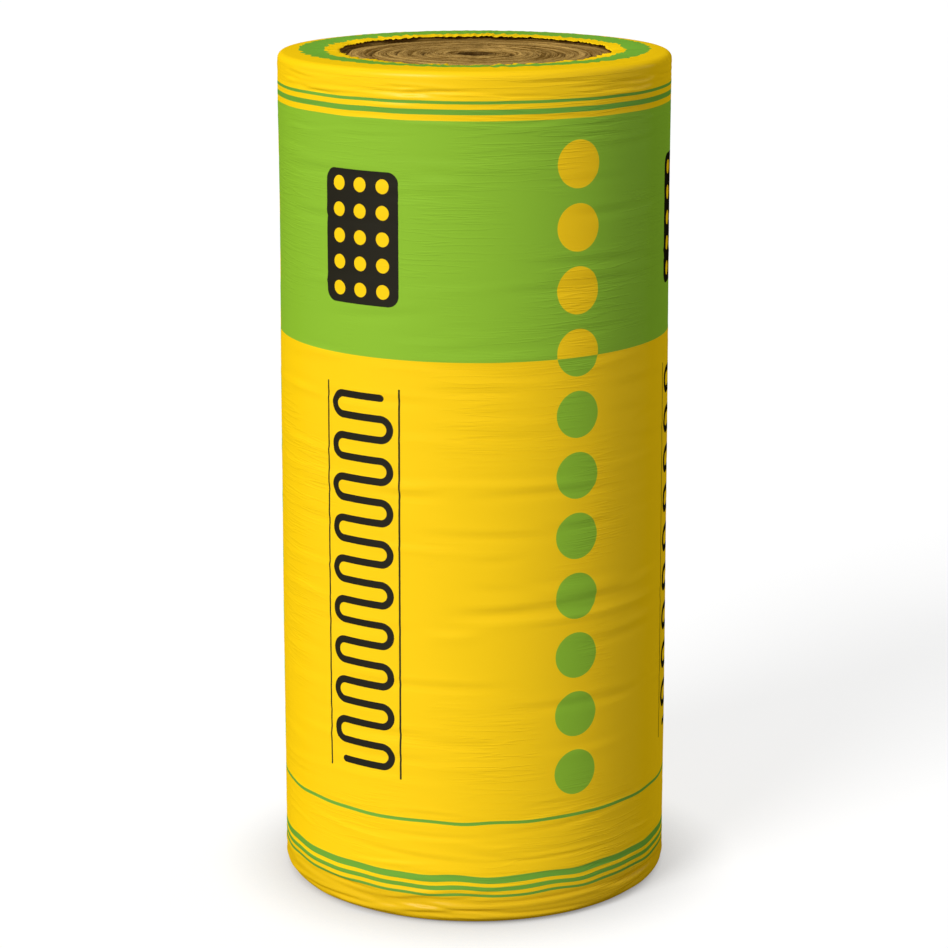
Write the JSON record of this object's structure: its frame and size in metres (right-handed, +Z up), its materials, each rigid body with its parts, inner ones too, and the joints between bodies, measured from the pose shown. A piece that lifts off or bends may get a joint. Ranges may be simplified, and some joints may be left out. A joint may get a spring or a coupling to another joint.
{
  "type": "insulation roll",
  "caption": "Roll of glass-wool insulation mat standing on its end in a printed film wrap that is turned in over both edges and leaves the wound ends open.",
  "frame": {"origin": "centre of the foot, on the floor that the roll stands on", "axes": "+Z up along the winding axis, -Y towards the side that the picture shows, +X to its right"},
  "size_m": [0.556, 0.5558, 1.2091],
  "materials": {
    "glass_wool": "fibrous, matt",
    "printed_film": "thin polyethylene film, semi-gloss, printed"
  },
  "bodies": {
    "root": {"wool_roll": "glass_wool", "film_wrap": "printed_film"}
  },
  "joints": []
}
